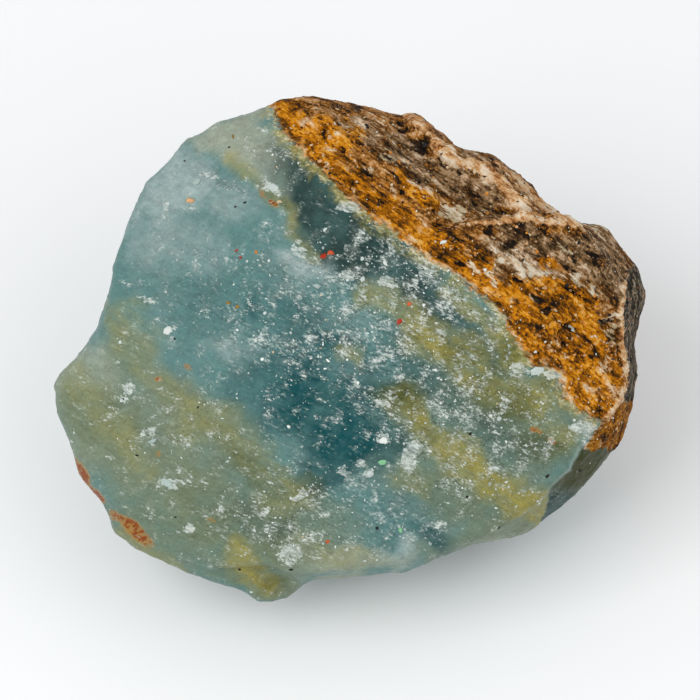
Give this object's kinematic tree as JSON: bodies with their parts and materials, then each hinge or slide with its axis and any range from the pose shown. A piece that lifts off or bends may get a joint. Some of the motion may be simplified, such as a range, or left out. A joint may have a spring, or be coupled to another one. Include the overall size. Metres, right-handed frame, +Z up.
{
  "type": "rough blue onyx",
  "caption": "Broken lump of blue-green onyx with a weathered orange and brown crust, lying on a small flat spot.",
  "frame": {"origin": "middle of the underside of the stone's box, on the surface it lies on", "axes": "+Z up, +X along the stone's longest side, the big blue face leans back and faces -Y and up"},
  "size_m": [0.0656, 0.048, 0.044],
  "materials": {
    "blue_onyx": "rough broken, dull and slightly waxy, translucent at thin edges"
  },
  "bodies": {
    "root": {"rough_stone": "blue_onyx"}
  },
  "joints": []
}
